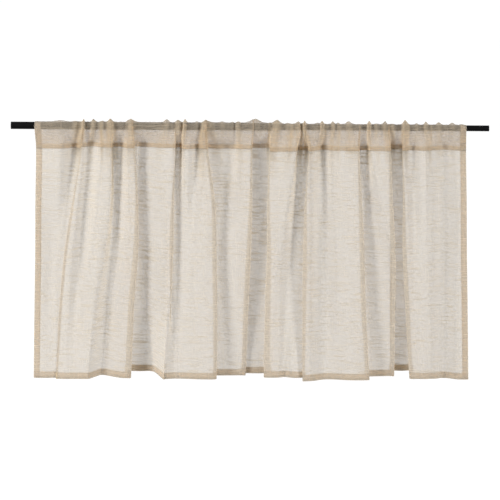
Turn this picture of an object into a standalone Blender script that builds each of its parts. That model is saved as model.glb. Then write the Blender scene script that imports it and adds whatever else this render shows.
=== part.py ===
"""Cafe curtain gathered on a telescopic rod: one sheer cloth with a rod pocket, and two tubes.

Metres, +Z up. The front faces -Y, +X is to the viewer's right, and the origin is on the
rod's axis at the middle of its length.
"""

import math

import bmesh
import bpy
from mathutils import Vector

MM = 0.001

# the rod
ROD_LENGTH = 1.138
OUTER_TUBE_RADIUS = 0.0088
INNER_TUBE_RADIUS = 0.0070
TUBE_WALL = 0.0008
TUBE_END_THICKNESS = 0.003
TUBE_JOINT_X = 0.052  # where the outer tube ends and the inner tube comes out of it
TUBE_OVERLAP = 0.120
TUBE_SIDES = 48
TUBE_EDGE_BEVEL = 0.0004

# the cloth
CLOTH_THICKNESS = 0.0012
SEAM_BAND = 0.010  # height of the turned-under band that closes the rod pocket
SEAM_DEPTH = 0.0042  # front to back through that band's layers
POCKET_CLEARANCE = 0.0010  # between the rod and the cloth over it
GATHER_FRONT = -0.011  # depth of the foremost gathers at the seam
GATHER_BACK = 0.011  # depth of the rearmost gathers at the seam
GATHER_AT_ROD = 0.008  # how far a gather stands out from the rod as it passes it
POCKET_BELLY = 0.6  # how soon above the seam the pocket opens: less is sooner
POCKET_RADIUS_BLEND = 0.030  # length over which the pocket narrows at the tube joint
HEM_FLARE = 0.016  # how much wider the cloth spreads at its hem than at the seam
PLUMB_LEAN = 0.0065  # the cloth hangs plumb from a rod that isn't quite level: sideways per drop
HEM_TILT = 0.0045  # and its hem follows the floor: rise per metre to the right
PANEL_BULGE = 1.5  # mm that the middle of a panel stands in front of its edges
SPLINE_TENSION = 0.35
LEVELS = (0.0, -0.056, -0.177, -0.298, -0.420, -0.590)  # heights of the fold table's x columns
BODY_ROWS = 9
POCKET_SIDE_ROWS = 3
POCKET_ARC_ROWS = 6
WIDE_RUN = 26.0  # mm of a panel, from its edge to its middle, past which it gets another column
FOLD_PLY = 1.5 * CLOTH_THICKNESS  # how far inside the seam band the pocket's back ply starts

# Folds from left to right, in mm. Each row is the step from one panel to the next: where it
# is at the rod, the seam, upper, middle, low and at the hem, and how far the two panels lap
# over each other at the seam, in the middle and at the hem (negative: an open slope).
FOLDS = (
    # name            rod   seam  upper   mid    low    hem   lap_seam lap_mid lap_hem
    ("left_tuck",      -398, -403, -421, -438, -449, -458,   -7,   -6,   -6),
    ("left_dip",       -384, -383, -385, -389, -398, -404,  -16,  -24,  -28),
    ("fan_edge",       -330, -329, -327, -334, -348, -364,   -6,   -8,  -22),
    ("second_rise",    -300, -300, -299, -298, -307, -320,  -16,  -26,  -30),
    ("deep_left",      -280, -276, -270, -272, -282, -289,   -6,    1,    5),
    ("deep_right",     -222, -236, -236, -232, -226, -219,  -34,  -42,  -24),
    ("pinch_edge",     -179, -178, -184, -187, -188, -190,   -7,    3,  -22),
    ("third_rise",     -157, -161, -161, -156, -152, -148,  -10,  -34,  -34),
    ("long_tuck",      -104, -103,  -88,  -85,  -83,  -83,   -8,    4,    4),
    ("centre_rise",     -28,  -30,  -38,  -46,  -42,  -38,  -26,  -48,  -30),
    ("centre_edge",       8,    4,    2,   -3,   -9,  -15,   -6,    4,    2),
    ("wide_lap",         50,   48,   44,   45,   42,   40,   -7,    4,    5),
    ("soft_edge",       118,  112,  101,   88,   83,   80,   -8,  -26,  -28),
    ("lap_right",       134,  140,  133,  131,  129,  127,   -8,    6,    4),
    ("soft_dip",        172,  167,  170,  172,  176,  180,  -12,  -26,  -40),
    ("broad_edge",      260,  258,  262,  266,  269,  278,   -7,    4,    4),
    ("late_rise",       284,  284,  292,  302,  306,  310,  -10,  -52,  -36),
    ("recess_left",     330,  334,  336,  340,  339,  338,   -7,    5,    4),
    ("recess_right",    366,  364,  367,  368,  374,  382,   -7,    7,    6),
    ("soft_crease",     420,  421,  423,  425,  428,  436,  -10,  -16,  -20),
)

# Panels between those folds, in mm: how far behind the rod's axis the cloth lies at the seam,
# in the middle and at the hem (negative: in front), and the height of the seam and the hem.
PANELS = (
    # name         d_seam d_mid d_hem  seam   hem
    ("left_side",       -5,   -7,  -12,  -54, -607),
    ("left_ridge",     -12,  -11,  -14,  -51, -609),
    ("left_fan",       -11,  -15,  -15,  -50, -609),
    ("second_dip",       8,    9,    9,  -51, -604),
    ("second_ridge",   -11,  -14,   -7,  -51, -608),
    ("deep_recess",     11,   18,   24,  -50, -597),
    ("third_ridge",    -11,  -16,  -16,  -50, -609),
    ("third_dip",        8,    2,   -7,  -51, -609),
    ("left_centre",    -11,  -15,  -16,  -53, -609),
    ("centre_dip",       8,    6,    9,  -54, -605),
    ("centre_ridge",   -10,   -8,    9,  -52, -605),
    ("mid_recess",      10,   16,   20,  -51, -601),
    ("mid_bright",     -11,  -13,   -8,  -57, -606),
    ("mid_dip",          8,    6,   -9,  -56, -605),
    ("right_ridge",    -11,  -20,  -24,  -56, -612),
    ("broad_panel",    -11,  -17,  -19,  -55, -610),
    ("late_dip",         7,    8,    8,  -55, -606),
    ("late_ridge",     -10,   -9,    8,  -54, -605),
    ("right_recess",    11,   20,   25,  -51, -595),
    ("right_panel",    -11,  -12,  -12,  -53, -608),
    ("right_side",      -7,  -10,  -13,  -53, -609),
)

# Soft hollows within the panels, in mm: where each one's middle is at the seam, in the middle
# and at the hem, its width, and how deep it is at those three heights.
HOLLOWS = (
    # name               x_seam x_mid x_hem width d_seam d_mid d_hem
    ("left_of_tuck",     -420,  -452,  -490,    34,    17,     3,     0),
    ("right_of_tuck",    -374,  -396,  -430,    46,    18,    12,     0),
    ("beside_pinch",     -122,  -140,  -150,    28,    15,     4,     0),
    ("before_broad",      172,   174,   178,    36,    20,     6,     4),
    ("wide_broad",        192,   194,   198,   100,     4,    14,    11),
    ("broad_middle",      222,   228,   236,    26,     3,     1,     1),
    ("right_first",       388,   396,   400,    26,    13,     6,     3),
    ("right_second",      472,   478,   482,    56,    15,    15,    14),
    ("fan_hem",          -336,  -348,  -352,    34,     0,     2,     4),
    ("left_side_soft",   -480,  -474,  -470,    50,     2,     7,     1),
    ("mid_hem",            92,    90,    87,    22,     0,     0,     9),
)
# The cloth's two side edges, in mm: at the rod, seam, upper, middle, low and hem.
LEFT_EDGE = (-512, -509, -510, -510, -511, -512)
RIGHT_EDGE = (514, 514, 515, 515, 516, 517)
SIDE_CURL = 3.0  # mm by which the side edges turn back

# Little crests that the gathers push up over the rod, in mm: place, height, half width.
CRESTS = (
    # x      high  half
    (-452,   4.0,  20),
    (-414,   3.0,   7),
    (-398,   7.5,   6),
    (-371,   8.0,   9),
    (-329,   8.5,   9),
    (-290,   6.0,   6),
    (-278,   9.0,   7),
    (-212,   8.0,  22),
    (-157,   9.0,   8),
    (-102,   7.0,  10),
    (-69,    6.0,   8),
    (10,    11.0,  26),
    (62,    10.0,   9),
    (110,    6.5,   8),
    (133,    9.0,   8),
    (168,    9.0,   8),
    (193,    8.0,   8),
    (232,    7.5,  16),
    (284,    9.5,   7),
    (324,   10.0,   8),
    (368,   12.0,   8),
    (419,    9.0,   8),
    (450,    7.0,   8),
    (484,    7.0,   8),
)
CREST_FLOOR = 0.6  # mm that the cloth stands over the rod between the crests


def clear_scene():
    for obj in list(bpy.data.objects):
        bpy.data.objects.remove(obj, do_unlink=True)


def make_material(name, colour, roughness, metallic):
    material = bpy.data.materials.new(name)
    material.use_nodes = True
    shader = material.node_tree.nodes["Principled BSDF"]
    shader.inputs["Base Color"].default_value = (*colour, 1.0)
    shader.inputs["Roughness"].default_value = roughness
    shader.inputs["Metallic"].default_value = metallic
    material.diffuse_color = (*colour, 1.0)
    return material


def make_object(name, bm, material, parent, smooth_angle):
    mesh = bpy.data.meshes.new(name)
    bm.to_mesh(mesh)
    bm.free()
    mesh.materials.append(material)
    mesh.shade_smooth()
    mesh.set_sharp_from_angle(angle=math.radians(smooth_angle))
    obj = bpy.data.objects.new(name, mesh)
    obj.parent = parent
    bpy.context.scene.collection.objects.link(obj)
    return obj


def smooth_step(share):
    share = min(max(share, 0.0), 1.0)
    return share * share * (3.0 - 2.0 * share)


def curve_value(values, knots, at):
    """A smooth curve through values, which stand at knots in falling order."""
    at = min(max(at, knots[-1]), knots[0])
    last = len(knots) - 2
    i = 0
    while i < last and at < knots[i + 1]:
        i += 1
    span = knots[i + 1] - knots[i]
    t = (at - knots[i]) / span

    def slope(j):
        low = max(j - 1, 0)
        high = min(j + 1, len(knots) - 1)
        return (values[high] - values[low]) / (knots[high] - knots[low]) * span

    a, b = values[i], values[i + 1]
    ta, tb = slope(i), slope(i + 1)
    return (
        a * (2 * t**3 - 3 * t**2 + 1)
        + b * (3 * t**2 - 2 * t**3)
        + ta * (t**3 - 2 * t**2 + t)
        + tb * (t**3 - t**2)
    )


def depth_at(seam, middle, hem, z):
    """The depth of a panel or a lap at height z, from its three named depths."""
    return curve_value((seam, seam, middle, hem), (LEVELS[0], LEVELS[1], LEVELS[3], LEVELS[5]), z)


def section_points(z):
    """The cloth's line across the width at height z, in mm: (x, y) control points."""
    left = curve_value(LEFT_EDGE, LEVELS, z)
    right = curve_value(RIGHT_EDGE, LEVELS, z)
    depths = [depth_at(row[1], row[2], row[3], z) for row in PANELS]
    starts = [left]
    ends = []
    for name, *numbers in FOLDS:
        middle = curve_value(numbers[:6], LEVELS, z)
        lap = depth_at(numbers[6], numbers[7], numbers[8], z)
        ends.append(middle + 0.5 * lap)
        starts.append(middle - 0.5 * lap)
    ends.append(right)
    points = []
    for start, end, depth in zip(starts, ends, depths):
        points.append((start, depth))
        points.append((0.5 * (start + end), depth - PANEL_BULGE))
        points.append((end, depth))
    points[0] = (left, depths[0] + SIDE_CURL)
    points[-1] = (right, depths[-1] + SIDE_CURL)
    return points


def panel_values(column):
    """One number for each control point of a section, read from a column of PANELS."""
    return [row[column] for row in PANELS for _ in range(3)]


def column_places():
    """Where the mesh's columns lie along the control points: more of them over each fold
    and across the wide panels."""
    middle_line = section_points(LEVELS[3])
    places = []
    count = 3 * len(PANELS)
    for i in range(count - 1):
        places.append(float(i))
        crosses_fold = i % 3 == 2
        is_wide = abs(middle_line[i + 1][0] - middle_line[i][0]) > WIDE_RUN
        if crosses_fold or is_wide:
            places.append(i + 0.5)
    places.append(count - 1.0)
    return places


def spline_value(values, place):
    """A smooth curve through evenly spaced values, read at place."""
    last = len(values) - 1
    i = min(int(place), last - 1)
    t = place - i
    before = values[max(i - 1, 0)]
    a, b = values[i], values[i + 1]
    after = values[min(i + 2, last)]
    ta = SPLINE_TENSION * (b - before)
    tb = SPLINE_TENSION * (after - a)
    return (
        a * (2 * t**3 - 3 * t**2 + 1)
        + b * (3 * t**2 - 2 * t**3)
        + ta * (t**3 - 2 * t**2 + t)
        + tb * (t**3 - t**2)
    )


def hollow_depth(x, z):
    """How far back the soft hollows push the cloth at x, in mm, and height z."""
    depth = 0.0
    for row in HOLLOWS:
        middle = depth_at(row[1], row[2], row[3], z)
        width = row[4]
        deepest = depth_at(row[5], row[6], row[7], z)
        depth += deepest * math.exp(-(((x - middle) / (0.5 * width)) ** 2))
    return depth


def section_line(z, places):
    """Points (x, y) of the cloth's middle line at height z, and the unit normal at each."""
    points = section_points(z)
    flare = 1.0 + HEM_FLARE * min(max((LEVELS[1] - z) / (LEVELS[1] - LEVELS[5]), 0.0), 1.1)
    xs = [p[0] * flare * MM for p in points]
    ys = [p[1] * MM for p in points]
    lean = PLUMB_LEAN * z
    line = [Vector((spline_value(xs, p) - lean, spline_value(ys, p))) for p in places]
    for point in line:
        point.y += hollow_depth(point.x / MM, z) * MM
    normals = []
    for i in range(len(line)):
        run = line[min(i + 1, len(line) - 1)] - line[max(i - 1, 0)]
        normals.append(Vector((-run.y, run.x)).normalized())
    return line, normals


def crest_height(x):
    """How far the gathered cloth stands over the rod's top at x, in metres."""
    rise = CREST_FLOOR
    for place, high, half in CRESTS:
        share = 1.0 - abs(x / MM - place) / half
        rise = max(rise, high * smooth_step(share))
    return rise * MM


def pocket_radius(x):
    """Radius of the cloth's inner face where it rests over the rod."""
    share = smooth_step((x - TUBE_JOINT_X) / POCKET_RADIUS_BLEND)
    rod = OUTER_TUBE_RADIUS + (INNER_TUBE_RADIUS - OUTER_TUBE_RADIUS) * share
    return rod + POCKET_CLEARANCE


def belly(share):
    """How far a side of the pocket has swung out to the rod, at a share of its height."""
    return math.sin(0.5 * math.pi * share) ** POCKET_BELLY


def pocket_column(point, depth, seam_z):
    """Inner and outer faces of the pocket in one column, from the seam up the front,
    over the rod and down the back to the seam. Each is a list of (y, z)."""
    radius = pocket_radius(point.x)
    share = smooth_step((depth - GATHER_FRONT) / (GATHER_BACK - GATHER_FRONT))
    front_out = GATHER_AT_ROD * (1.0 - share)
    back_out = GATHER_AT_ROD * share
    top = seam_z + SEAM_BAND
    front_foot = point.y + 0.5 * CLOTH_THICKNESS
    back_foot = point.y + SEAM_DEPTH - FOLD_PLY
    inner = []
    outer = []
    for row in range(POCKET_SIDE_ROWS):
        t = row / POCKET_SIDE_ROWS
        z = top * (1.0 - t)
        y = front_foot + (-radius - front_out - front_foot) * belly(t)
        inner.append((y, z))
        outer.append((y - CLOTH_THICKNESS, z))
    for row in range(POCKET_ARC_ROWS + 1):
        turn = math.pi * row / POCKET_ARC_ROWS
        out = front_out if turn < 0.5 * math.pi else back_out
        reach = radius + out * abs(math.cos(turn))
        height = radius + crest_height(point.x)
        inner.append((-reach * math.cos(turn), height * math.sin(turn)))
        outer.append(
            (
                -(reach + CLOTH_THICKNESS) * math.cos(turn),
                (height + CLOTH_THICKNESS) * math.sin(turn),
            )
        )
    for row in range(POCKET_SIDE_ROWS - 1, -1, -1):
        t = row / POCKET_SIDE_ROWS
        z = top * (1.0 - t)
        y = back_foot + (radius + back_out - back_foot) * belly(t)
        inner.append((y, z))
        outer.append((y + CLOTH_THICKNESS, z))
    return inner, outer


def curtain_columns():
    """For each column, its front face, back face, pocket outside and pocket inside."""
    places = column_places()
    seams = panel_values(4)
    hems = panel_values(5)
    depths = panel_values(1)
    seam_z = [spline_value(seams, p) * MM for p in places]
    hem_z = [spline_value(hems, p) * MM for p in places]
    rows = []
    for row in range(BODY_ROWS + 1):
        share = row / BODY_ROWS
        level = LEVELS[5] + share * (LEVELS[1] - LEVELS[5])
        rows.append((share, *section_line(level, places)))
    rod_line = section_line(0.0, places)[0]
    columns = []
    half = 0.5 * CLOTH_THICKNESS
    for i, place in enumerate(places):
        front = []
        back = []
        for share, line, normals in rows:
            point, normal = line[i], normals[i]
            z = hem_z[i] + share * (seam_z[i] - hem_z[i]) + HEM_TILT * point.x * (1.0 - share)
            front.append(Vector((point.x - half * normal.x, point.y - half * normal.y, z)))
            back.append(Vector((point.x + half * normal.x, point.y + half * normal.y, z)))
        seam_point = rows[-1][1][i]
        depth = spline_value(depths, place) * MM
        inner, outer = pocket_column(seam_point, depth, seam_z[i])
        shift = rod_line[i].x - seam_point.x
        band_top = seam_z[i] + SEAM_BAND

        def placed(pairs):
            result = []
            for y, z in pairs:
                share = min(max((z - band_top) / -band_top, 0.0), 1.0)
                result.append(Vector((seam_point.x + shift * share, y, z)))
            return result

        tail = Vector((seam_point.x, seam_point.y + SEAM_DEPTH - half, seam_z[i]))
        columns.append((front, back, placed(outer) + [tail], placed(inner)))
    return columns


def build_curtain(material, parent):
    """One closed sheet: the hanging cloth, the seam band and the pocket round the rod."""
    bm = bmesh.new()
    rings = []
    for front, back, outer, inner in curtain_columns():
        rings.append(
            (
                [bm.verts.new(v) for v in front],
                [bm.verts.new(v) for v in back],
                [bm.verts.new(v) for v in outer],
                [bm.verts.new(v) for v in inner],
            )
        )

    def strips(this, following, flip):
        for k in range(len(this) - 1):
            quad = (this[k], this[k + 1], following[k + 1], following[k])
            bm.faces.new(quad[::-1] if flip else quad)

    for this, following in zip(rings, rings[1:]):
        outline = this[0] + this[2] + this[1][::-1] + this[0][:1]
        next_outline = following[0] + following[2] + following[1][::-1] + following[0][:1]
        strips(outline, next_outline, False)
        strips(this[3] + this[3][:1], following[3] + following[3][:1], True)

    for ring, flip in ((rings[0], True), (rings[-1], False)):
        front, back, outer, inner = ring
        for k in range(len(front) - 1):
            quad = (front[k], front[k + 1], back[k + 1], back[k])
            bm.faces.new(quad[::-1] if flip else quad)
        for k in range(len(inner) - 1):
            quad = (outer[k], outer[k + 1], inner[k + 1], inner[k])
            bm.faces.new(quad[::-1] if flip else quad)
        band = (front[-1], outer[0], inner[0], inner[-1], outer[-2], outer[-1], back[-1])
        bm.faces.new(band[::-1] if flip else band)

    bmesh.ops.recalc_face_normals(bm, faces=bm.faces)
    bmesh.ops.triangulate(bm, faces=bm.faces)
    return make_object("curtain", bm, material, parent, 50.0)


def build_tube(name, radius, closed_x, open_x, material, parent):
    """A round tube along X, closed flat at one end and open at the other."""
    inward = 1.0 if open_x > closed_x else -1.0
    bore = radius - TUBE_WALL
    floor_x = closed_x + inward * TUBE_END_THICKNESS
    bm = bmesh.new()
    profile = (
        (closed_x, 0.0),
        (closed_x, radius - TUBE_EDGE_BEVEL),
        (closed_x + inward * TUBE_EDGE_BEVEL, radius),
        (open_x, radius),
        (open_x, bore),
        (floor_x, bore),
        (floor_x, 0.0),
    )
    verts = [bm.verts.new((x, 0.0, r)) for x, r in profile]
    edges = [bm.edges.new(pair) for pair in zip(verts, verts[1:])]
    bmesh.ops.spin(
        bm,
        geom=verts + edges,
        cent=(0.0, 0.0, 0.0),
        axis=(1.0, 0.0, 0.0),
        angle=2.0 * math.pi,
        steps=TUBE_SIDES,
        use_merge=True,
    )
    bmesh.ops.remove_doubles(bm, verts=bm.verts, dist=0.00001)
    bmesh.ops.recalc_face_normals(bm, faces=bm.faces)
    return make_object(name, bm, material, parent, 40.0)


def build():
    clear_scene()
    linen = make_material("sheer_linen", (0.72, 0.62, 0.50), 0.9, 0.0)
    black = make_material("satin_black_steel", (0.012, 0.012, 0.013), 0.38, 0.6)
    rod_axis = bpy.data.objects.new("rod_axis", None)
    bpy.context.scene.collection.objects.link(rod_axis)
    half = 0.5 * ROD_LENGTH
    build_tube("rod_outer_tube", OUTER_TUBE_RADIUS, -half, TUBE_JOINT_X, black, rod_axis)
    build_tube(
        "rod_inner_tube", INNER_TUBE_RADIUS, half, TUBE_JOINT_X - TUBE_OVERLAP, black, rod_axis
    )
    build_curtain(linen, rod_axis)


build()
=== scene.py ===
import math

import bpy
import numpy as np
from mathutils import Matrix, Vector


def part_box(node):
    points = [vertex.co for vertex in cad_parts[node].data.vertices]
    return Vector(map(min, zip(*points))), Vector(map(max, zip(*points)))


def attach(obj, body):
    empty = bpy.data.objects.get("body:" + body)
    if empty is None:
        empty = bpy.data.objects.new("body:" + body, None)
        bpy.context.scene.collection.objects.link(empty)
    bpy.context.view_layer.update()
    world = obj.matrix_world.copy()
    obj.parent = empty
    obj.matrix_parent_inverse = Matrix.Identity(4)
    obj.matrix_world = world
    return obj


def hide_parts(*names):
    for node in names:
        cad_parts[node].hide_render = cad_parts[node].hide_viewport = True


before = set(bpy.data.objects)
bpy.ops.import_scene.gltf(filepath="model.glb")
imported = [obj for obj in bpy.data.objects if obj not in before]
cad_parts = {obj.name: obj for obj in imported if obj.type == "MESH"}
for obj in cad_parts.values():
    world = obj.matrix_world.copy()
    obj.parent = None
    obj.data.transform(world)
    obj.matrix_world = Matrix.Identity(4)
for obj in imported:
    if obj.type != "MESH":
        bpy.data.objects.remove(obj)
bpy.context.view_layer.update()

mm = 0.001


def smoothStep(share):
    share = np.clip(share, 0.0, 1.0)
    return share * share * (3.0 - 2.0 * share)


def riseCurve(values, knots, at):
    # a smooth curve through values standing at falling knots, read at an array of heights
    values = np.asarray(values, float)
    knots = np.asarray(knots, float)
    at = np.clip(np.asarray(at, float), knots[-1], knots[0])
    i = np.clip(np.searchsorted(-knots, -at, side="right") - 1, 0, len(knots) - 2)
    span = knots[i + 1] - knots[i]
    t = (at - knots[i]) / span
    slopes = np.empty(len(values))
    for j in range(len(values)):
        low, high = max(j - 1, 0), min(j + 1, len(values) - 1)
        slopes[j] = (values[high] - values[low]) / (knots[high] - knots[low])
    a, b = values[i], values[i + 1]
    ta, tb = slopes[i] * span, slopes[i + 1] * span
    return (a * (2 * t**3 - 3 * t**2 + 1) + b * (3 * t**2 - 2 * t**3)
            + ta * (t**3 - 2 * t**2 + t) + tb * (t**3 - t**2))


def softSpline(points, places, tension):
    # points is rows x controls, read along the controls at places
    last = points.shape[1] - 1
    i = np.minimum(places.astype(int), last - 1)
    t = places - i
    before = points[:, np.maximum(i - 1, 0)]
    a, b = points[:, i], points[:, i + 1]
    after = points[:, np.minimum(i + 2, last)]
    ta = tension * (b - before)
    tb = tension * (after - a)
    return (a * (2 * t**3 - 3 * t**2 + 1) + b * (3 * t**2 - 2 * t**3)
            + ta * (t**3 - 2 * t**2 + t) + tb * (t**3 - t**2))


def gridPiece(name, points, acrossMetres, alongMetres, material, flip=False):
    # points is rows x columns x 3, and the UV map holds the cloth's own metres
    rows, columns = points.shape[:2]
    index = np.arange(rows * columns).reshape(rows, columns)
    quads = np.stack([index[:-1, :-1], index[:-1, 1:], index[1:, 1:], index[1:, :-1]], -1)
    quads = quads.reshape(-1, 4)
    if flip:
        quads = quads[:, ::-1]
    mesh = bpy.data.meshes.new(name)
    mesh.from_pydata(points.reshape(-1, 3).tolist(), [], quads.tolist())
    uv = mesh.uv_layers.new(name="clothMetres")
    flat = np.stack([acrossMetres.reshape(-1), alongMetres.reshape(-1)], -1)
    corner = np.empty(len(mesh.loops), int)
    mesh.loops.foreach_get("vertex_index", corner)
    uv.data.foreach_set("uv", flat[corner].reshape(-1))
    mesh.materials.append(material)
    mesh.shade_smooth()
    piece = bpy.data.objects.new(name, mesh)
    bpy.context.scene.collection.objects.link(piece)
    return piece


def thicken(piece, thickness):
    solid = piece.modifiers.new("clothThickness", "SOLIDIFY")
    solid.thickness = thickness
    solid.offset = 0.0
    solid.use_even_offset = False
    solid.use_rim = True
    return solid


clothSizes = {
    # heights in mm from the rod's axis: rod, seam, then the four below it down to the hem
    "levels": (0.0, -56.0, -177.0, -298.0, -420.0, -590.0),
    "bodyRows": 64,
    "perFold": 14,              # columns across each fold's turn
    "panelStep": 2.6,           # mm between columns on the flat of a panel
    "foldRoundness": 0.42,      # tension of the curve through each fold
    "edgeRoundness": 0.35,      # and of the seam's and the hem's own heights
    "panelBulge": 1.5,          # mm that a panel's middle stands forward
    "hemFlare": 0.016,
    "foldCurl": 0.11,           # how soon a panel's edge starts to turn towards the next one
    "seamCurl": 0.3,            # the share of that turn left at the seam
    "sideCurl": 2.0,            # mm that the cloth's own side edges turn back
    "plumbLean": 0.0065,        # the cloth hangs plumb from a rod that isn't quite level
    "hemTilt": 0.00455,         # and its hem lies nearer to level than the rod
    "puckers": 0.55,            # mm, the uneven small waves of the whole cloth
    "puckersAtHem": 0.35,       # the share of them left at the hem
    "thickness": 0.00045,
    "layerGap": 0.0009,         # from one turned layer of a hem to the next
    "bottomHem": 15.0,
    "sideHem": 14.0,
    "seamBand": 10.0,
}

# name, place at rod, seam, upper, middle, low, hem, and lap at seam, middle, hem (all mm)
folds = (
    ("leftTuck", -398, -403, -421, -438, -449, -458, -2, 5, 3),
    ("leftDip", -384, -383, -385, -389, -398, -404, -16, -24, -28),
    ("fanEdge", -330, -329, -329, -339, -353, -368, -4, -12, -24),
    ("secondRise", -300, -300, -300, -301, -312, -326, -16, -26, -40),
    ("deepLeft", -280, -276, -270, -272, -282, -289, 2, 12, 14),
    ("deepRight", -222, -236, -236, -232, -226, -219, -50, -56, -24),
    ("pinchEdge", -179, -178, -184, -187, -188, -190, -2, 9, -22),
    ("thirdRise", -157, -161, -161, -156, -152, -148, -10, -34, -34),
    ("longTuck", -104, -103, -88, -85, -83, -83, 4, 10, 7),
    ("centreRise", -28, -30, -38, -46, -42, -38, -26, -48, -30),
    ("centreEdge", 8, 4, 2, -3, -9, -15, 1, 10, 9),
    ("wideLap", 50, 48, 44, 45, 42, 40, -2, 9, 15),
    ("softEdge", 118, 112, 101, 88, 83, 80, -6, -26, -28),
    ("lapRight", 134, 140, 133, 131, 129, 127, -2, 9, 5),
    ("softDip", 172, 167, 170, 172, 176, 180, -12, -26, -40),
    ("broadEdge", 260, 258, 262, 266, 269, 278, 1, 9, 8),
    ("lateRise", 284, 284, 292, 302, 306, 310, -10, -52, -36),
    ("recessLeft", 330, 334, 336, 340, 339, 338, 2, 11, 9),
    ("recessRight", 366, 364, 367, 368, 374, 382, -1, 9, 8),
    ("softCrease", 420, 421, 423, 425, 428, 436, -10, -16, -20),
)

# the flat panels between them: depth behind the rod at seam, middle, hem, then seam and hem height
panels = (
    ("leftSide", -8, -7, -12, -54, -607),
    ("leftRidge", -12, -11, -14, -51, -609),
    ("leftFan", -11, -15, -15, -50, -609),
    ("secondDip", 11, 8, 7, -51, -604),
    ("secondRidge", -11, -14, -7, -51, -608),
    ("deepRecess", 13, 18, 24, -50, -597),
    ("thirdRidge", -11, -16, -16, -50, -609),
    ("thirdDip", 9, 2, -7, -51, -609),
    ("leftCentre", -11, -15, -16, -53, -609),
    ("centreDip", 15, 11, 13, -54, -605),
    ("centreRidge", -10, -8, 14, -52, -605),
    ("midRecess", 11, 16, 20, -51, -601),
    ("midBright", -11, -13, -8, -57, -606),
    ("midDip", 9, 6, -16, -56, -605),
    ("rightRidge", -11, -20, -24, -56, -612),
    ("broadPanel", -11, -17, -19, -55, -610),
    ("lateDip", 10, 11, 9, -55, -606),
    ("lateRidge", -10, -9, 9, -54, -605),
    ("rightRecess", 12, 20, 25, -51, -595),
    ("rightPanel", -11, -12, -12, -53, -608),
    ("rightSide", -8, -10, -13, -53, -609),
)

# soft hollows within the panels: place at seam, middle, hem, width, depth at seam, middle, hem
hollows = (
    ("leftOfTuck", -420, -452, -490, 36, 25, 5, 0),
    ("rightOfTuck", -378, -400, -430, 42, 25, 17, 0),
    ("besidePinch", -124, -140, -150, 28, 18, 4, 0),
    ("beforeBroad", 172, 174, 178, 36, 20, 6, 4),
    ("wideBroad", 190, 178, 186, 70, 9, 19, 14),
    ("broadMiddle", 222, 228, 236, 26, 3, 1, 1),
    ("rightFirst", 388, 396, 400, 26, 13, 6, 3),
    ("rightSecond", 464, 470, 472, 48, 22, 22, 21),
    ("fanHem", -336, -348, -352, 34, 0, 2, 4),
    ("leftSideSoft", -470, -474, -470, 50, 3, 11, 2),
    ("midHem", 92, 90, 87, 22, 0, 0, 9),
)

leftEdge = (-512, -509, -510, -510, -511, -512)
rightEdge = (514, 514, 515, 515, 516, 517)

# gathers pinched up on the rod: place at rod and at seam, width, how far they stand out and up
gathers = (
    (-452, -448, 22, 0.8, 3.5),
    (-420, -424, 7, 3.5, 2.0),
    (-398, -405, 8, 8.0, 7.5),
    (-371, -381, 7, 6.0, 8.0),
    (-350, -350, 6, 3.5, 3.0),
    (-331, -331, 9, 8.0, 8.5),
    (-289, -296, 7, 3.0, 5.0),
    (-280, -283, 10, 7.5, 9.0),
    (-211, -214, 13, 3.0, 8.0),
    (-172, -178, 7, 6.0, 6.0),
    (-158, -160, 6, 7.0, 9.0),
    (-128, -130, 7, 2.0, 3.0),
    (-104, -114, 11, 9.0, 7.0),
    (-87, -78, 5, 4.0, 4.5),
    (-69, -69, 6, 3.5, 6.0),
    (-44, -42, 5, 2.0, 2.5),
    (-29, -24, 8, 5.5, 3.0),
    (9, 8, 24, 1.5, 11.0),
    (62, 52, 12, 8.0, 9.5),
    (86, 82, 6, 3.5, 2.5),
    (109, 115, 8, 5.5, 6.5),
    (121, 128, 5, 3.0, 2.5),
    (134, 141, 9, 9.0, 9.0),
    (158, 158, 6, 2.0, 3.5),
    (167, 167, 6, 6.5, 8.5),
    (193, 195, 7, 6.0, 7.5),
    (206, 206, 6, 1.5, 4.0),
    (232, 246, 13, 4.0, 7.5),
    (284, 284, 6, 7.5, 9.0),
    (303, 303, 6, 2.0, 4.0),
    (324, 332, 8, 7.5, 10.0),
    (341, 350, 5, 3.0, 2.0),
    (368, 366, 10, 8.5, 12.0),
    (396, 396, 6, 2.5, 4.0),
    (420, 424, 7, 5.0, 8.5),
    (450, 450, 9, 3.5, 7.0),
    (482, 484, 9, 2.5, 6.0),
    (503, 505, 7, 2.0, 2.0),
)


def depthAt(seamValue, middleValue, hemValue, z):
    levels = clothSizes["levels"]
    knots = (levels[0], levels[1], levels[3], levels[5])
    return riseCurve((seamValue, seamValue, middleValue, hemValue), knots, z)


def controlLines(z):
    # rows x controls of x and y, three controls to a panel
    levels = clothSizes["levels"]
    middles = [riseCurve(row[1:7], levels, z) for row in folds]
    laps = [depthAt(row[7], row[8], row[9], z) for row in folds]
    depths = [depthAt(row[1], row[2], row[3], z) for row in panels]
    starts = [riseCurve(leftEdge, levels, z)] + [m - 0.5 * l for m, l in zip(middles, laps)]
    ends = [m + 0.5 * l for m, l in zip(middles, laps)] + [riseCurve(rightEdge, levels, z)]
    curl = clothSizes["foldCurl"] * depthAt(clothSizes["seamCurl"], 1.0, 1.0, z)
    xs, ys = [], []
    for k, (start, end, depth) in enumerate(zip(starts, ends, depths)):
        before = depths[max(k - 1, 0)] - depth
        after = depths[min(k + 1, len(depths) - 1)] - depth
        xs += [start, 0.5 * (start + end), end]
        ys += [depth + curl * before, depth - clothSizes["panelBulge"], depth + curl * after]
    ys[0] = ys[0] + clothSizes["sideCurl"]
    ys[-1] = ys[-1] + clothSizes["sideCurl"]
    return np.stack(xs, -1), np.stack(ys, -1)


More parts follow.
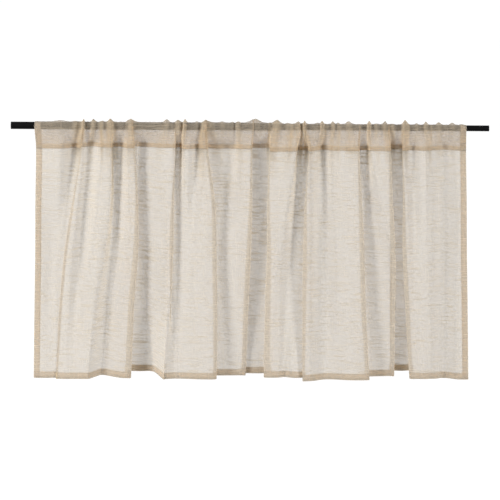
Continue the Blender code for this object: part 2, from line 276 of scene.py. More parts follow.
def columnPlaces():
    # denser over each fold's turn, even on the flats
    xs = controlLines(np.array([clothSizes["levels"][3]]))[0][0]
    places = []
    count = 3 * len(panels)
    for i in range(count - 1):
        if i % 3 == 2:
            steps = clothSizes["perFold"]
        else:
            steps = max(4, int(abs(xs[i + 1] - xs[i]) / clothSizes["panelStep"]))
        places += list(i + np.arange(steps) / steps)
    places.append(count - 1.0)
    return np.array(places)


def perPanel(column, places):
    values = np.array([[row[column] for row in panels for _ in range(3)]], float)
    return softSpline(values, places, clothSizes["edgeRoundness"])[0]


def foldSurface(z, places):
    # z is rows of height, one for each row; gives x and y in mm
    xs, ys = controlLines(z)
    levels = clothSizes["levels"]
    drop = np.clip((levels[1] - z) / (levels[1] - levels[5]), 0.0, 1.1)
    flare = 1.0 + clothSizes["hemFlare"] * drop
    roundness = clothSizes["foldRoundness"]
    x = softSpline(xs, places, roundness) * flare[:, None]
    x = x - clothSizes["plumbLean"] * z[:, None]
    y = softSpline(ys, places, roundness)
    for row in hollows:
        middle = depthAt(*row[1:4], z)[:, None]
        depth = depthAt(*row[5:8], z)[:, None]
        y = y + depth * np.exp(-((x - middle) / (0.5 * row[4])) ** 2)
    return x, y


# folds tucked in between the gathers: place at rod and at seam, width, and how dark and tight: how
# deep they dip, how far they close the weave, and how much painted shade darkens them
tucks = (
    (-412, -410, 13, 0.9),
    (-353, -352, 7, 0.9),
    (-338, -340, 5, 0.6),
    (-322, -318, 8, 0.5),
    (-164, -166, 5, 0.5),
    (-114, -122, 8, 0.9),
    (-89, -86, 7, 0.8),
    (44, 44, 4, 1.0),
    (95, 96, 9, 0.9),
    (120, 122, 6, 0.9),
    (131, 133, 5, 0.8),
    (175, 176, 10, 0.5),
    (210, 210, 10, 0.4),
    (302, 303, 4, 0.8),
    (338, 342, 8, 0.7),
    (378, 374, 7, 0.5),
    (432, 430, 6, 0.5),
)


gatherSizes = {
    "spreadAtRod": 0.72,        # a gather's half width, as a share of its width in the table
    "spreadMoreAtSeam": 0.25,
    "crestRise": 0.85,          # how much of the tabled rise its crest keeps
    "crestPoint": 1.5,          # more makes the crests narrower
    "sideways": 0.22,           # how far a gather leans over, as a share of how far it stands out
    "fullTight": 9.0,           # mm out at which the cloth is drawn fully tight
    "tuckDepth": 2.0,           # mm
    "tuckSpread": 0.55,
    "tuckTight": 1.3,
    "atSeam": 0.42,             # the share of the gathers that reaches the seam
    "reach": 48.0,              # mm below the seam over which they die out
    "tightBelow": 0.6,          # how tight they hold the cloth there
    "ripple": 0.6,              # mm, the small even puckers between the gathers
    "rippleAtSeam": 0.35,
}


def gatherWave(seamX, share):
    # how far out and up the gathers push each column, and how tight the cloth is drawn, which also
    # sets how much painted shade darkens it;
    # share is 0 at the seam and 1 at the rod
    size = gatherSizes
    out = np.zeros(np.broadcast(seamX, share).shape)
    up = np.zeros_like(out)
    lean = np.zeros_like(out)
    tightAndShade = np.zeros_like(out)
    for k, (atRod, atSeam, width, forward, rise) in enumerate(gathers):
        middle = atSeam + (atRod - atSeam) * share
        spread = width * (size["spreadAtRod"] + size["spreadMoreAtSeam"] * (1.0 - share))
        bump = np.exp(-np.abs((seamX - middle) / spread) ** 3)
        out += forward * bump
        crest = np.exp(-((seamX - middle) / spread) ** 2 * size["crestPoint"])
        up += size["crestRise"] * rise * crest
        lean += (1 if k % 2 else -1) * size["sideways"] * forward * bump
        tightAndShade += min(forward / size["fullTight"], 1.0) * bump
    ripple = size["ripple"] * (
        0.6 * np.sin(seamX * 0.55 + 1.5 * np.sin(seamX * 0.07) + share)
        + 0.4 * np.sin(seamX * 0.83 + 2.1 * np.sin(seamX * 0.031)))
    out += ripple * (size["rippleAtSeam"] + (1.0 - size["rippleAtSeam"]) * share)
    up += 0.8 * ripple
    for atRod, atSeam, width, dark in tucks:
        middle = atSeam + (atRod - atSeam) * share
        dip = np.exp(-((seamX - middle) / (size["tuckSpread"] * width)) ** 2)
        out -= size["tuckDepth"] * dark * dip
        tightAndShade += size["tuckTight"] * dark * dip
    return out, up, lean, tightAndShade


def finePuckers(x, z, amount):
    # tiny uneven waves, longer down the cloth than across it
    wave = (np.sin(x * 0.21 + 1.7 * np.sin(z * 0.011 + x * 0.013)) * 0.5
            + np.sin(x * 0.093 + 2.3 + 1.3 * np.sin(z * 0.017 - x * 0.021)) * 0.8
            + np.sin(x * 0.047 - z * 0.012 + 0.6) * 0.9)
    return amount * wave


def seamSettle(z, seamZ):
    # the gathers carry on below the seam and die out
    return np.exp(-np.clip(seamZ - z, 0.0, None) / gatherSizes["reach"])


def makeBodyGrid(places):
    levels = clothSizes["levels"]
    share = np.linspace(0.0, 1.0, clothSizes["bodyRows"] + 1)
    level = levels[5] + share * (levels[1] - levels[5])
    x, y = foldSurface(level, places)
    seamZ = perPanel(4, places)
    hemZ = perPanel(5, places)
    z = hemZ[None] + share[:, None] * (seamZ - hemZ)[None]
    seamX = x[-1][None]
    z = z + clothSizes["hemTilt"] * x * (1.0 - share[:, None])
    out, _, lean, tightAndShade = gatherWave(seamX, np.zeros_like(z))
    settle = seamSettle(z, seamZ[None])
    y = y - gatherSizes["atSeam"] * out * settle
    x = x + gatherSizes["atSeam"] * lean * settle
    left = clothSizes["puckersAtHem"]
    y = y + finePuckers(x, z, clothSizes["puckers"]) * (left + (1.0 - left) * share[:, None])
    return x, y, z, seamX, gatherSizes["tightBelow"] * tightAndShade * settle**2


def rodRadiusAt(x):
    low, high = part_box("rod_outer_tube")
    wide = 0.5 * (high.z - low.z) / mm
    jointX = high.x / mm
    low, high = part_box("rod_inner_tube")
    slim = 0.5 * (high.z - low.z) / mm
    return wide + (slim - wide) * smoothStep((x - jointX) / pocketSizes["tubeBlend"])


pocketSizes = {
    "clearance": 1.2,           # mm from the rod to the middle of the cloth
    "nearest": 0.6,             # mm, and where a tuck pulls it in
    "panelStandOut": 1.6,       # how much further out the front panels pass the rod
    "frontDepth": 11.0,         # mm in front of the axis, where a panel counts as a front one
    "tubeBlend": 30.0,          # mm over which the pocket narrows past the tubes' joint
    "backSwing": 0.6,           # the share of the gathers that shows at the back
    "roundness": 0.7,           # less fills the pocket out sooner above the band
    "seamDrawn": (0.9, 0.5, 0.5, 0.9),
    "turnedTight": 0.8,         # how much the folds and the gathers close up the weave and darken its colour as painted shade
    "tightFrom": 0.12,          # gathers weaker than this leave it as it is
    "frontRows": 18,
    "arcRows": 12,
    "backRows": 14,
    "turnRows": 5,
}


def pocketColumns(x, y, seamZ, seamX):
    # rows from the seam up the front, over the rod, down the back and round the turned edge
    size = pocketSizes
    seamShare = gatherSizes["atSeam"]
    gap = clothSizes["layerGap"] / mm
    band = clothSizes["seamBand"]
    bandTop = seamZ + band
    radius = rodRadiusAt(x) + size["clearance"]
    forward = smoothStep((size["frontDepth"] - y) / (2.0 * size["frontDepth"]))
    frontOut = radius + size["panelStandOut"] * forward
    backOut = radius + size["panelStandOut"] * (1.0 - forward)
    rodShift = foldSurface(np.array([0.0]), placesOfCloth)[0][0] - x
    nearest = (size["nearest"] - size["clearance"]
               - size["panelStandOut"] * np.minimum(forward, 1.0 - forward))
    rows, tightAndShadeRows = [], []

    def addRow(yRow, zRow, share, swing, rise):
        out, up, lean, tightAndShade = gatherWave(seamX, np.full_like(x, share))
        out = np.maximum(out, nearest)
        sway = lean * (seamShare + (1.0 - seamShare) * share) * abs(swing)
        xRow = x + rodShift * smoothStep(share) + sway
        rows.append(np.stack([xRow, yRow - out * swing, zRow + up * rise], -1))
        tightAndShadeRows.append(tightAndShade * (0.45 + 0.55 * share))

    def bellyAt(zRow):
        # 0 up to the band's top, 1 at the rod
        lift = np.clip((zRow - bandTop) / -bandTop, 0.0, 1.0)
        return np.sin(0.5 * math.pi * lift) ** size["roundness"]

    for t in np.linspace(0.0, 1.0, size["frontRows"]):
        zRow = seamZ * (1.0 - t)
        addRow(y + (-frontOut - y) * bellyAt(zRow), zRow, t, seamShare + (1.0 - seamShare) * t, 0.0)
    for turn in np.linspace(0.0, math.pi, size["arcRows"] + 2)[1:-1]:
        atFront = turn < 0.5 * math.pi
        reach = frontOut if atFront else backOut
        swing = math.cos(turn) * (1.0 if atFront else size["backSwing"])
        addRow(-reach * math.cos(turn), radius * math.sin(turn), 1.0, swing, math.sin(turn) ** 1.5)
    back = y + 2.0 * gap
    for t in np.linspace(1.0, 0.0, size["backRows"]):
        zRow = seamZ * (1.0 - t)
        swing = seamShare - (seamShare + size["backSwing"]) * t
        addRow(back + (backOut - back) * bellyAt(zRow), zRow, t, swing, 0.0)
    # the turned-under edge, from just below the seam up between the two layers
    for turn in np.linspace(0.0, 1.0, size["turnRows"]):
        depth = back - gap * smoothStep(turn * 3.0)
        addRow(depth, seamZ - 0.4 + (band - 1.5) * turn, 0.0, seamShare, 0.0)
    return np.stack(rows), np.stack(tightAndShadeRows)


def runLengths(points, axis):
    step = np.linalg.norm(np.diff(points, axis=axis), axis=-1)
    total = np.cumsum(step, axis=axis)
    pad = [(1, 0) if a == axis else (0, 0) for a in range(2)]
    return np.pad(total, pad)


def surfaceNormals(points):
    across = np.gradient(points, axis=1)
    along = np.gradient(points, axis=0)
    normal = np.cross(across, along)
    return normal / np.linalg.norm(normal, axis=-1, keepdims=True)


def turnedAway(points):
    # 0 where the cloth lies flat, towards 1 where it turns back; there its threads close up and
    # painted shade darkens its colour
    flat = np.abs(surfaceNormals(points)[..., 1])
    return np.clip((1.0 / np.maximum(flat, 0.2) - 1.25) / 4.0, 0.0, 1.0)


def drawnInAndShade(piece, values):
    layer = piece.data.attributes.new("drawnInAndShade", "FLOAT", "POINT")
    layer.data.foreach_set("value", np.clip(values, 0.0, 1.0).reshape(-1).astype(np.float32))


linenLook = {
    "reflect": (0.575, 0.545, 0.497),
    "glowThrough": (0.42, 0.378, 0.312),
    "seenThrough": (0.87, 0.87, 0.88),  # fine fibres across the gaps grey what is behind
    "plainTint": (1.0, 1.0, 1.0),
    "pocketTint": (1.10, 1.03, 0.92),
    "hemTint": (1.10, 1.06, 0.93),
    "shadeTint": (0.66, 0.635, 0.585),   # painted shade: how far the colour is darkened where the cloth turns away
    "gatherShadeTint": (0.78, 0.765, 0.72),  # painted shade of the pocket and the hems: the colour darkened where they turn away and where the cloth is drawn in over the rod
    "openShare": 0.555,                 # see-through share of one face of the cloth
    "pocketOpenShare": 0.77,            # and of the pocket's
    "leastOpen": 0.04,
    "drawnInPower": 2.2,                # how fast drawn-in cloth closes up
    "threadPitch": 0.0013,
    "weaveClose": 0.04,                 # how far the weave's grid and its slubs close it
    "slubClose": 0.33,
    "pocketSlubClose": 0.18,
    "slubDark": 0.93,
    "thinOpen": 0.05,                   # how far thin places open it
    # slubs: length and thread pitch in metres, and where the noise starts and is full
    "longSlub": (0.042, 0.0024, 0.50, 0.68),
    "shortSlub": (0.020, 0.0018, 0.54, 0.70),
    "warpSlub": (0.045, 0.0021, 0.55, 0.74),
    "shortSlubShare": 0.5,
    "warpSlubShare": 0.4,
    "bumpStrength": 0.2,
    "bumpDepth": 0.0004,
}


def mathNode(tree, operation, first, second=None, third=None, clamp=False):
    node = tree.nodes.new("ShaderNodeMath")
    node.operation = operation
    node.use_clamp = clamp
    for i, value in enumerate((first, second, third)):
        if value is None:
            continue
        if isinstance(value, bpy.types.NodeSocket):
            tree.links.new(value, node.inputs[i])
        else:
            node.inputs[i].default_value = value
    return node.outputs[0]


def stretchedNoise(tree, vector, across, along, detail, seed):
    move = tree.nodes.new("ShaderNodeMapping")
    move.inputs["Location"].default_value = (seed * 3.1, seed * 1.7, seed)
    move.inputs["Scale"].default_value = (across, along, 1.0)
    tree.links.new(vector, move.inputs["Vector"])
    noise = tree.nodes.new("ShaderNodeTexNoise")
    noise.inputs["Scale"].default_value = 1.0
    noise.inputs["Detail"].default_value = detail
    noise.inputs["Roughness"].default_value = 0.55
    tree.links.new(move.outputs[0], noise.inputs["Vector"])
    return noise.outputs[0]


def slubThreads(tree, along, across, slub, seed):
    # every thread, pitch metres wide, has its own run of thick and thin places
    length, pitch, start, full = slub
    thread = mathNode(tree, "FLOOR", mathNode(tree, "DIVIDE", across, pitch))
    place = tree.nodes.new("ShaderNodeCombineXYZ")
    tree.links.new(mathNode(tree, "DIVIDE", along, length), place.inputs[0])
    tree.links.new(mathNode(tree, "MULTIPLY", thread, 7.31), place.inputs[1])
    place.inputs[2].default_value = seed
    noise = tree.nodes.new("ShaderNodeTexNoise")
    noise.inputs["Scale"].default_value = 1.0
    noise.inputs["Detail"].default_value = 1.0
    tree.links.new(place.outputs[0], noise.inputs["Vector"])
    return mapTo(tree, noise.outputs[0], start, full)


def mapTo(tree, value, low, high, toLow=0.0, toHigh=1.0):
    node = tree.nodes.new("ShaderNodeMapRange")
    node.interpolation_type = "SMOOTHSTEP"
    node.inputs["From Min"].default_value = low
    node.inputs["From Max"].default_value = high
    node.inputs["To Min"].default_value = toLow
    node.inputs["To Max"].default_value = toHigh
    tree.links.new(value, node.inputs["Value"])
    return node.outputs["Result"]


def mixColour(tree, share, first, second):
    node = tree.nodes.new("ShaderNodeMix")
    node.data_type = "RGBA"
    tree.links.new(share, node.inputs[0])
    for socket, value in ((node.inputs[6], first), (node.inputs[7], second)):
        if isinstance(value, bpy.types.NodeSocket):
            tree.links.new(value, socket)
        else:
            socket.default_value = (*value, 1.0)
    return node.outputs[2]


def tinted(colour, tint):
    return tuple(c * t for c, t in zip(colour, tint))


def makeLinen(name, openShare, tint, shadeTint, slubClose):
    look = linenLook
    material = bpy.data.materials.new(name)
    material.use_nodes = True
    tree = material.node_tree
    tree.nodes.clear()
    uv = tree.nodes.new("ShaderNodeUVMap")
    uv.uv_map = "clothMetres"
    place = uv.outputs[0]
    split = tree.nodes.new("ShaderNodeSeparateXYZ")
    tree.links.new(place, split.inputs[0])
    across, up = split.outputs[0], split.outputs[1]
    # long slubs in the weft, short thick ones, and a few down the warp
    longSlub = slubThreads(tree, across, up, look["longSlub"], 1.0)
    shortSlub = slubThreads(tree, across, up, look["shortSlub"], 2.0)
    warpSlub = slubThreads(tree, up, across, look["warpSlub"], 3.0)
    patches = mapTo(tree, stretchedNoise(tree, place, 11.0, 17.0, 2.0, 4.0), 0.35, 0.65)
    thin = mapTo(tree, stretchedNoise(tree, place, 60.0, 400.0, 1.0, 6.0), 0.56, 0.70)
    shortSlub = mathNode(tree, "MULTIPLY", shortSlub, look["shortSlubShare"])
    warpSlub = mathNode(tree, "MULTIPLY", warpSlub, look["warpSlubShare"])
    slub = mathNode(tree, "MAXIMUM", longSlub, shortSlub)
    slub = mathNode(tree, "MULTIPLY", slub, mathNode(tree, "MULTIPLY_ADD", patches, 0.5, 0.5))
    slub = mathNode(tree, "MAXIMUM", slub, warpSlub, clamp=True)
    # the weave's own grid
    turnPerMetre = 2.0 * math.pi / look["threadPitch"]
    weft = mathNode(tree, "SINE", mathNode(tree, "MULTIPLY", up, turnPerMetre))
    warp = mathNode(tree, "SINE", mathNode(tree, "MULTIPLY", across, turnPerMetre))
    weave = mathNode(tree, "MAXIMUM", weft, warp)
    held = tree.nodes.new("ShaderNodeAttribute")
    held.attribute_name = "drawnInAndShade"
    tightAndShade = held.outputs["Fac"]
    # slubs close the weave, thin places open it, and drawn-in cloth closes it most
    openWeave = mathNode(tree, "MULTIPLY_ADD", weave, -look["weaveClose"], openShare)
    openWeave = mathNode(tree, "MULTIPLY_ADD", slub, -slubClose, openWeave)
    openWeave = mathNode(tree, "MULTIPLY_ADD", thin, look["thinOpen"], openWeave)
    openWeave = mathNode(tree, "MAXIMUM", openWeave, look["leastOpen"])
    power = mathNode(tree, "MULTIPLY_ADD", tightAndShade, look["drawnInPower"], 1.0)
    openWeave = mathNode(tree, "POWER", openWeave, power)
    covered = mathNode(tree, "SUBTRACT", 1.0, openWeave, clamp=True)
    # painted shade: the colour is darkened towards the shade tint where the cloth turns away, in
    # the tucks and where the gathers draw it in
    hues = []
    for colour in (tinted(look["reflect"], tint), tinted(look["glowThrough"], tint)):
        darker = tuple(c * look["slubDark"] for c in colour)
        plain = mixColour(tree, slub, colour, darker)
        paintedShade = tinted(colour, shadeTint)
        hues.append(mixColour(tree, tightAndShade, plain, paintedShade))
    bump = tree.nodes.new("ShaderNodeBump")
    bump.inputs["Strength"].default_value = look["bumpStrength"]
    bump.inputs["Distance"].default_value = look["bumpDepth"]
    tree.links.new(mathNode(tree, "MULTIPLY_ADD", slub, 1.4, weave), bump.inputs["Height"])
    diffuse = tree.nodes.new("ShaderNodeBsdfDiffuse")
    diffuse.inputs["Roughness"].default_value = 0.6
    tree.links.new(hues[0], diffuse.inputs["Color"])
    tree.links.new(bump.outputs[0], diffuse.inputs["Normal"])
    glow = tree.nodes.new("ShaderNodeBsdfTranslucent")
    tree.links.new(hues[1], glow.inputs["Color"])
    both = tree.nodes.new("ShaderNodeAddShader")
    tree.links.new(diffuse.outputs[0], both.inputs[0])
    tree.links.new(glow.outputs[0], both.inputs[1])
    clear = tree.nodes.new("ShaderNodeBsdfTransparent")
    clear.inputs["Color"].default_value = (*look["seenThrough"], 1.0)
    mix = tree.nodes.new("ShaderNodeMixShader")
    tree.links.new(covered, mix.inputs[0])
    tree.links.new(clear.outputs[0], mix.inputs[1])
    tree.links.new(both.outputs[0], mix.inputs[2])
    out = tree.nodes.new("ShaderNodeOutputMaterial")
    tree.links.new(mix.outputs[0], out.inputs["Surface"])
    return material


placesOfCloth = columnPlaces()
linen = makeLinen("sheerLinen", linenLook["openShare"], linenLook["plainTint"],
                  linenLook["shadeTint"], linenLook["slubClose"])
pocketLinen = makeLinen("pocketLinen", linenLook["pocketOpenShare"], linenLook["pocketTint"],
                        linenLook["gatherShadeTint"], linenLook["pocketSlubClose"])
hemLinen = makeLinen("hemLinen", linenLook["openShare"], linenLook["hemTint"],
                     linenLook["gatherShadeTint"], linenLook["pocketSlubClose"])

bodyX, bodyY, bodyZ, seamX, bodyTightAndShade = makeBodyGrid(placesOfCloth)
bodyPoints = np.stack([bodyX, bodyY, bodyZ], -1) * mm
seamZ = bodyZ[-1]
# start the pocket from the folds without their gathers, which pocketColumns adds itself
plainX, plainY = foldSurface(np.array([clothSizes["levels"][1]]), placesOfCloth)
pocketPoints, pocketTightAndShade = pocketColumns(plainX[0], plainY[0], seamZ, seamX[0])
pocketPoints = pocketPoints * mm
# the seam's two lines draw the cloth in: its stitching, and the turned edge above it
for row, drawn in enumerate(pocketSizes["seamDrawn"]):
    pocketTightAndShade[row] += drawn

acrossCloth = runLengths(bodyPoints, 1)
acrossCloth = np.broadcast_to(acrossCloth.mean(0), acrossCloth.shape)
upCloth = runLengths(bodyPoints, 0)
upCloth = upCloth - upCloth[-1:]
# weft threads run level with the seam, so each row keeps one height along the cloth
upCloth = np.broadcast_to(upCloth.mean(1)[:, None], upCloth.shape)
upPocket = runLengths(pocketPoints, 0)
upPocket = np.broadcast_to(upPocket.mean(1)[:, None], upPocket.shape)
clothPanel = gridPiece("clothPanel", bodyPoints, acrossCloth, upCloth, linen)
# where the cloth turns away and the gathers reach below the seam, the weave closes and painted
# shade darkens the colour
drawnInAndShade(clothPanel, turnedAway(bodyPoints) + bodyTightAndShade)
rodPocket = gridPiece("rodPocket", pocketPoints,
                      np.broadcast_to(acrossCloth[0], upPocket.shape), upPocket, pocketLinen)
# rows spaced evenly in height, to keep the bend over the rod from counting in full
acrossOnly = pocketPoints.copy()
acrossOnly[..., 2] = np.arange(len(pocketPoints))[:, None] * 3.0 * mm
gatherTightAndShade = np.maximum(pocketTightAndShade - pocketSizes["tightFrom"], 0.0)
# the pocket's folds, tucks and gathers close the weave, and painted shade darkens their colour
drawnInAndShade(rodPocket, pocketSizes["turnedTight"] * (turnedAway(acrossOnly) + gatherTightAndShade))


hemSizes = {
    "columns": 160,             # as many columns as a side hem can reach in from the edge
    "rows": 12,                 # and rows as the bottom hem and the band can reach
    "edgeColumns": 4,           # the columns that give the side edge's direction
    "edge": 0.35,               # mm that the turned edge stands past the cloth's own
    "sideShift": 0.31,          # metres that set the hems' weave apart from the cloth's
    "bottomShift": 0.7,
}


def turnedLayers(width):
    # the two folded-in layers of a hem: (distance in from the edge in mm, layers behind)
    edge = hemSizes["edge"]
    return (
        (0.0, 0.0), (-edge, 0.5), (-edge, 1.5), (0.2, 2.0), (width * 0.35, 2.0),
        (width * 0.7, 2.0), (width - 0.6, 2.0), (width, 1.7), (width, 1.3), (width - 0.6, 1.0),
        (width * 0.7, 1.0), (width * 0.35, 1.0), (2.0, 1.0),
    )


def readAlong(points, values, distance, fromEnd):
    # values at a distance in from the first or last column of every row
    last = hemSizes["columns"]
    line = points[:, ::-1] if fromEnd else points
    carried = values[:, ::-1] if fromEnd else values
    run = runLengths(line[:, :last], 1)
    result = np.empty((len(line), 3))
    for r in range(len(line)):
        for a in range(3):
            result[r, a] = np.interp(max(distance, 0.0), run[r], carried[r, :last, a])
    return result


def readUp(points, values, distance, lastRow):
    # values at a distance up from the first row of every column
    run = runLengths(points, 0)
    result = np.empty(points.shape[1:])
    for c in range(points.shape[1]):
        for a in range(3):
            result[c, a] = np.interp(distance, run[:lastRow, c], values[:lastRow, c, a])
    return result


def makeSideHem(name, points, normals, fromEnd, material):
    gap = clothSizes["layerGap"]
    line = points[:, ::-1] if fromEnd else points
    outward = line[:, 0] - line[:, hemSizes["edgeColumns"]]
    outward /= np.linalg.norm(outward, axis=-1, keepdims=True)
    columns = []
    for inward, layers in turnedLayers(clothSizes["sideHem"]):
        place = readAlong(points, points, inward * mm, fromEnd)
        place = place + outward * max(-inward, 0.0) * mm
        facing = readAlong(points, normals, inward * mm, fromEnd)
        columns.append(place + facing * gap * layers)
    grid = np.stack(columns, 1)
    hem = gridPiece(name, grid, runLengths(grid, 1) + hemSizes["sideShift"],
                    runLengths(grid, 0), material, flip=fromEnd)
    drawnInAndShade(hem, np.zeros(grid.shape[:2]))
    return hem


def makeBottomHem(name, points, normals):
    gap = clothSizes["layerGap"]
    rows = []
    for inward, layers in turnedLayers(clothSizes["bottomHem"]):
        height = max(inward, 0.0) * mm
        row = readUp(points, points, height, hemSizes["rows"])
        row[:, 2] += min(inward, 0.0) * mm
        facing = readUp(points, normals, height, hemSizes["rows"])
        rows.append(row + facing * gap * layers)
    grid = np.stack(rows)
    up = runLengths(grid, 0)
    hem = gridPiece(name, grid, np.broadcast_to(acrossCloth[0], up.shape),
                    up + hemSizes["bottomShift"], hemLinen, flip=True)
    # where the hem turns away, the weave closes and painted shade darkens its colour
    drawnInAndShade(hem, np.broadcast_to(turnedAway(points)[2], up.shape))
    return hem


def facingBack(points):
    # unit normals turned to the cloth's inner side, front rows to the back
    normals = surfaceNormals(points)
    return normals * np.sign(normals[2, :, 1].mean())


bodyNormals = facingBack(bodyPoints)
pocketNormals = facingBack(pocketPoints)
bottomHem = makeBottomHem("bottomHem", bodyPoints, bodyNormals)
leftHem = makeSideHem("leftHem", bodyPoints, bodyNormals, False, hemLinen)
rightHem = makeSideHem("rightHem", bodyPoints, bodyNormals, True, hemLinen)
leftPocketHem = makeSideHem("leftPocketHem", pocketPoints, pocketNormals, False, linen)
rightPocketHem = makeSideHem("rightPocketHem", pocketPoints, pocketNormals, True, linen)
clothPieces = [clothPanel, rodPocket, bottomHem, leftHem, rightHem, leftPocketHem,
               rightPocketHem]
for piece in clothPieces:
    thicken(piece, clothSizes["thickness"])
print("hems turned")

stitchSizes = {
    "length": 0.0024,
    "pitch": 0.0036,
    "radius": 0.00019,
    "proud": 0.00035,           # how far the thread stands off the cloth
    "inFromHem": 1.6,           # mm from a hem's inner fold to its stitches
    "inFromBand": 1.4,
    "colour": (0.46, 0.37, 0.24),
    "colourDark": 0.7,
}


def makeThread():
    material = bpy.data.materials.new("linenThread")
    material.use_nodes = True
    tree = material.node_tree
    shader = tree.nodes["Principled BSDF"]
    shader.inputs["Roughness"].default_value = 0.8
    where = tree.nodes.new("ShaderNodeTexCoord")
    grain = stretchedNoise(tree, where.outputs["Object"], 900.0, 2600.0, 1.0, 7.0)
    colour = stitchSizes["colour"]
    darker = tuple(c * stitchSizes["colourDark"] for c in colour)
    tree.links.new(mixColour(tree, grain, colour, darker), shader.inputs["Base Color"])
    return material


def stitchTree(material):
    tree = bpy.data.node_groups.new("stitchRun", "GeometryNodeTree")
    face = tree.interface
    face.new_socket("Geometry", in_out="INPUT", socket_type="NodeSocketGeometry")
    for label in ("stitchLength", "stitchPitch", "threadRadius"):
        face.new_socket(label, in_out="INPUT", socket_type="NodeSocketFloat")
    face.new_socket("Geometry", in_out="OUTPUT", socket_type="NodeSocketGeometry")
    source = tree.nodes.new("NodeGroupInput")
    curve = tree.nodes.new("GeometryNodeMeshToCurve")
    tree.links.new(source.outputs[0], curve.inputs["Mesh"])
    evenly = tree.nodes.new("GeometryNodeResampleCurve")
    evenly.mode = "LENGTH"
    tree.links.new(curve.outputs[0], evenly.inputs["Curve"])
    tree.links.new(source.outputs["stitchPitch"], evenly.inputs["Length"])
    tangent = tree.nodes.new("GeometryNodeInputTangent")
    turn = tree.nodes.new("FunctionNodeAlignRotationToVector")
    turn.axis = "Z"
    tree.links.new(tangent.outputs[0], turn.inputs["Vector"])
    thread = tree.nodes.new("GeometryNodeMeshUVSphere")
    thread.inputs["Segments"].default_value = 6
    thread.inputs["Rings"].default_value = 5
    tree.links.new(source.outputs["threadRadius"], thread.inputs["Radius"])
    half = tree.nodes.new("ShaderNodeMath")
    half.operation = "DIVIDE"
    tree.links.new(source.outputs["stitchLength"], half.inputs[0])
    double = tree.nodes.new("ShaderNodeMath")
    double.operation = "MULTIPLY"
    double.inputs[1].default_value = 2.0
    tree.links.new(source.outputs["threadRadius"], double.inputs[0])
    tree.links.new(double.outputs[0], half.inputs[1])
    stretch = tree.nodes.new("ShaderNodeCombineXYZ")
    stretch.inputs[0].default_value = 1.0
    stretch.inputs[1].default_value = 1.0
    tree.links.new(half.outputs[0], stretch.inputs[2])
    place = tree.nodes.new("GeometryNodeInstanceOnPoints")
    tree.links.new(evenly.outputs[0], place.inputs["Points"])
    tree.links.new(thread.outputs["Mesh"], place.inputs["Instance"])
    tree.links.new(turn.outputs[0], place.inputs["Rotation"])
    tree.links.new(stretch.outputs[0], place.inputs["Scale"])
    real = tree.nodes.new("GeometryNodeRealizeInstances")
    tree.links.new(place.outputs[0], real.inputs[0])
    finish = tree.nodes.new("GeometryNodeSetMaterial")
    finish.inputs["Material"].default_value = material
    tree.links.new(real.outputs[0], finish.inputs["Geometry"])
    sink = tree.nodes.new("NodeGroupOutput")
    tree.links.new(finish.outputs[0], sink.inputs[0])
    return tree


def sewRun(name, lines, tree):
    # lines are polylines in metres; the result is one plain mesh of stitches
    vertices, edges = [], []
    for line in lines:
        first = len(vertices)
        vertices += [tuple(p) for p in line]
        edges += [(i, i + 1) for i in range(first, first + len(line) - 1)]
    mesh = bpy.data.meshes.new(name)
    mesh.from_pydata(vertices, edges, [])
    guide = bpy.data.objects.new(name + "Guide", mesh)
    bpy.context.scene.collection.objects.link(guide)
    nodes = guide.modifiers.new("stitchRun", "NODES")
    nodes.node_group = tree
    values = {"stitchLength": stitchSizes["length"], "stitchPitch": stitchSizes["pitch"],
              "threadRadius": stitchSizes["radius"]}
    for item in tree.interface.items_tree:
        if item.in_out == "INPUT" and item.name in values:
            nodes[item.identifier] = values[item.name]
    graph = bpy.context.evaluated_depsgraph_get()
    done = bpy.data.meshes.new_from_object(guide.evaluated_get(graph))
    bpy.data.objects.remove(guide)
    done.name = name
    piece = bpy.data.objects.new(name, done)
    bpy.context.scene.collection.objects.link(piece)
    piece.data.shade_smooth()
    return piece


def lineAcross(points, normals, height):
    # the run of points at a height in metres up the cloth from its first row, just in front of it
    line = readUp(points, points, height, hemSizes["rows"])
    return line - readUp(points, normals, height, hemSizes["rows"]) * stitchSizes["proud"]


def lineDown(points, normals, inward, fromEnd):
    line = readAlong(points, points, inward, fromEnd)
    return line - readAlong(points, normals, inward, fromEnd) * stitchSizes["proud"]


thread = makeThread()
stitches = stitchTree(thread)
hemLine = (clothSizes["bottomHem"] - stitchSizes["inFromHem"]) * mm
sideLine = (clothSizes["sideHem"] - stitchSizes["inFromHem"]) * mm
bandLine = (clothSizes["seamBand"] - stitchSizes["inFromBand"]) * mm
hemStitches = sewRun("hemStitches", [lineAcross(bodyPoints, bodyNormals, hemLine)], stitches)
seamStitches = sewRun("seamStitches", [lineAcross(pocketPoints, pocketNormals, bandLine)], stitches)
sideStitches = sewRun("sideStitches", [lineDown(bodyPoints, bodyNormals, sideLine, fromEnd)
                                       for fromEnd in (False, True)], stitches)
threadPieces = [hemStitches, seamStitches, sideStitches]
print("stitched:", [len(p.data.polygons) for p in threadPieces])


rodLook = {
    "dark": (0.0030, 0.0030, 0.0032),
    "light": (0.0055, 0.0055, 0.0058),
    "roughness": (0.48, 0.58),
    "specular": 0.12,
}


def makeSatinBlack():
    material = bpy.data.materials.new("satinBlackSteel")
    material.use_nodes = True
    tree = material.node_tree
    shader = tree.nodes["Principled BSDF"]
    shader.inputs["Metallic"].default_value = 0.0
    shader.inputs["Specular IOR Level"].default_value = rodLook["specular"]
    where = tree.nodes.new("ShaderNodeTexCoord")
    grain = stretchedNoise(tree, where.outputs["Object"], 60.0, 900.0, 3.0, 5.0)
    roughness = mapTo(tree, grain, 0.3, 0.7, *rodLook["roughness"])
    tree.links.new(roughness, shader.inputs["Roughness"])
    colour = mixColour(tree, grain, rodLook["dark"], rodLook["light"])
    tree.links.new(colour, shader.inputs["Base Color"])
    return material


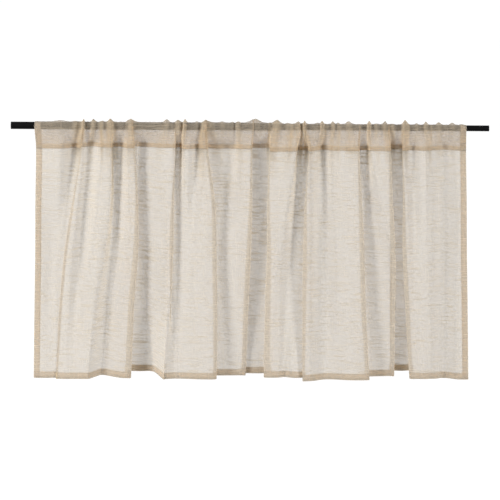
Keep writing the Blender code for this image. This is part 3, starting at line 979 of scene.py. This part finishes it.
satinBlack = makeSatinBlack()
for node in ("rod_outer_tube", "rod_inner_tube"):
    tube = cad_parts[node]
    for slot in tube.material_slots:
        slot.material = satinBlack
print("rod finished")

for piece in clothPieces + threadPieces:
    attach(piece, "root")
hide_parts("curtain")

studio = {
    "floorHalf": 60.0,
    "floorDrop": 1.6,
    "floorGlow": 1.0,
    "floorColour": (0.1, 0.1, 0.1, 1.0),
    "cameraDistance": 7.5,
    "cameraRise": 9.0,          # degrees above level
    "cameraRoll": 0.375,
    "cameraSide": 0.0019,
    "viewWidth": 1.1972,
    "aimHeight": -0.2967,
    "lampPlaces": ((-4.0, -2.3, 0.9), (6.4, -3.7, 0.9)),
    "lampPowers": (216.0, 408.0),
    "lampSize": 1.3,
    "lightBehind": 0.50,
    "lightInFront": 0.15,
}


def makeFloor():
    half = studio["floorHalf"]
    mesh = bpy.data.meshes.new("floor")
    corners = [(-half, -half), (half, -half), (half, half), (-half, half)]
    mesh.from_pydata([(x, y, -studio["floorDrop"]) for x, y in corners], [], [(0, 1, 2, 3)])
    material = bpy.data.materials.new("paleFloor")
    material.use_nodes = True
    shader = material.node_tree.nodes["Principled BSDF"]
    shader.inputs["Base Color"].default_value = studio["floorColour"]
    shader.inputs["Roughness"].default_value = 1.0
    shader.inputs["Specular IOR Level"].default_value = 0.0
    shader.inputs["Emission Color"].default_value = (1.0, 1.0, 1.0, 1.0)
    shader.inputs["Emission Strength"].default_value = studio["floorGlow"]
    mesh.materials.append(material)
    floor = bpy.data.objects.new("floor", mesh)
    bpy.context.scene.collection.objects.link(floor)
    floor.visible_diffuse = False
    floor.visible_glossy = False
    return floor


def makeSky():
    # a white room to look at, and softer light on the cloth from behind than it looks
    world = bpy.data.worlds.new("softRoom")
    world.use_nodes = True
    tree = world.node_tree
    where = tree.nodes.new("ShaderNodeTexCoord")
    split = tree.nodes.new("ShaderNodeSeparateXYZ")
    tree.links.new(where.outputs["Generated"], split.inputs[0])
    soft = mapTo(tree, split.outputs[1], -0.4, 0.4, studio["lightInFront"], studio["lightBehind"])
    rays = tree.nodes.new("ShaderNodeLightPath")
    blend = tree.nodes.new("ShaderNodeMix")
    tree.links.new(rays.outputs["Is Camera Ray"], blend.inputs[0])
    tree.links.new(soft, blend.inputs[2])
    blend.inputs[3].default_value = 1.0
    background = tree.nodes["Background"]
    background.inputs["Color"].default_value = (1.0, 1.0, 1.0, 1.0)
    tree.links.new(blend.outputs[0], background.inputs["Strength"])
    bpy.context.scene.world = world


def addLamps():
    # a soft lamp to each side, so the ridges catch the light and the deep folds don't
    for place, power in zip(studio["lampPlaces"], studio["lampPowers"]):
        data = bpy.data.lights.new("softLamp", "AREA")
        data.energy = power
        data.size = studio["lampSize"]
        lamp = bpy.data.objects.new("softLamp", data)
        lamp.location = place
        aim = Vector((0.0, 0.0, studio["aimHeight"])) - lamp.location
        lamp.rotation_euler = aim.to_track_quat("-Z", "Y").to_euler()
        bpy.context.scene.collection.objects.link(lamp)


def makeCamera():
    data = bpy.data.cameras.new("camera")
    camera = bpy.data.objects.new("camera", data)
    rise = math.radians(studio["cameraRise"])
    away = studio["cameraDistance"]
    height = studio["aimHeight"] + away * math.sin(rise)
    camera.location = (studio["cameraSide"], -away * math.cos(rise), height)
    tilt = Matrix.Rotation(0.5 * math.pi - rise, 3, "X")
    roll = Matrix.Rotation(math.radians(studio["cameraRoll"]), 3, "Z")
    camera.rotation_euler = (tilt @ roll).to_euler()
    data.lens = data.sensor_width * away / studio["viewWidth"]
    data.clip_end = 200.0
    bpy.context.scene.collection.objects.link(camera)
    bpy.context.scene.camera = camera


makeFloor()
makeSky()
addLamps()
makeCamera()
bpy.context.scene.view_settings.view_transform = "Standard"
bpy.context.scene.cycles.transparent_max_bounces = 48
bpy.context.scene.cycles.diffuse_bounces = 8
print("stage set")
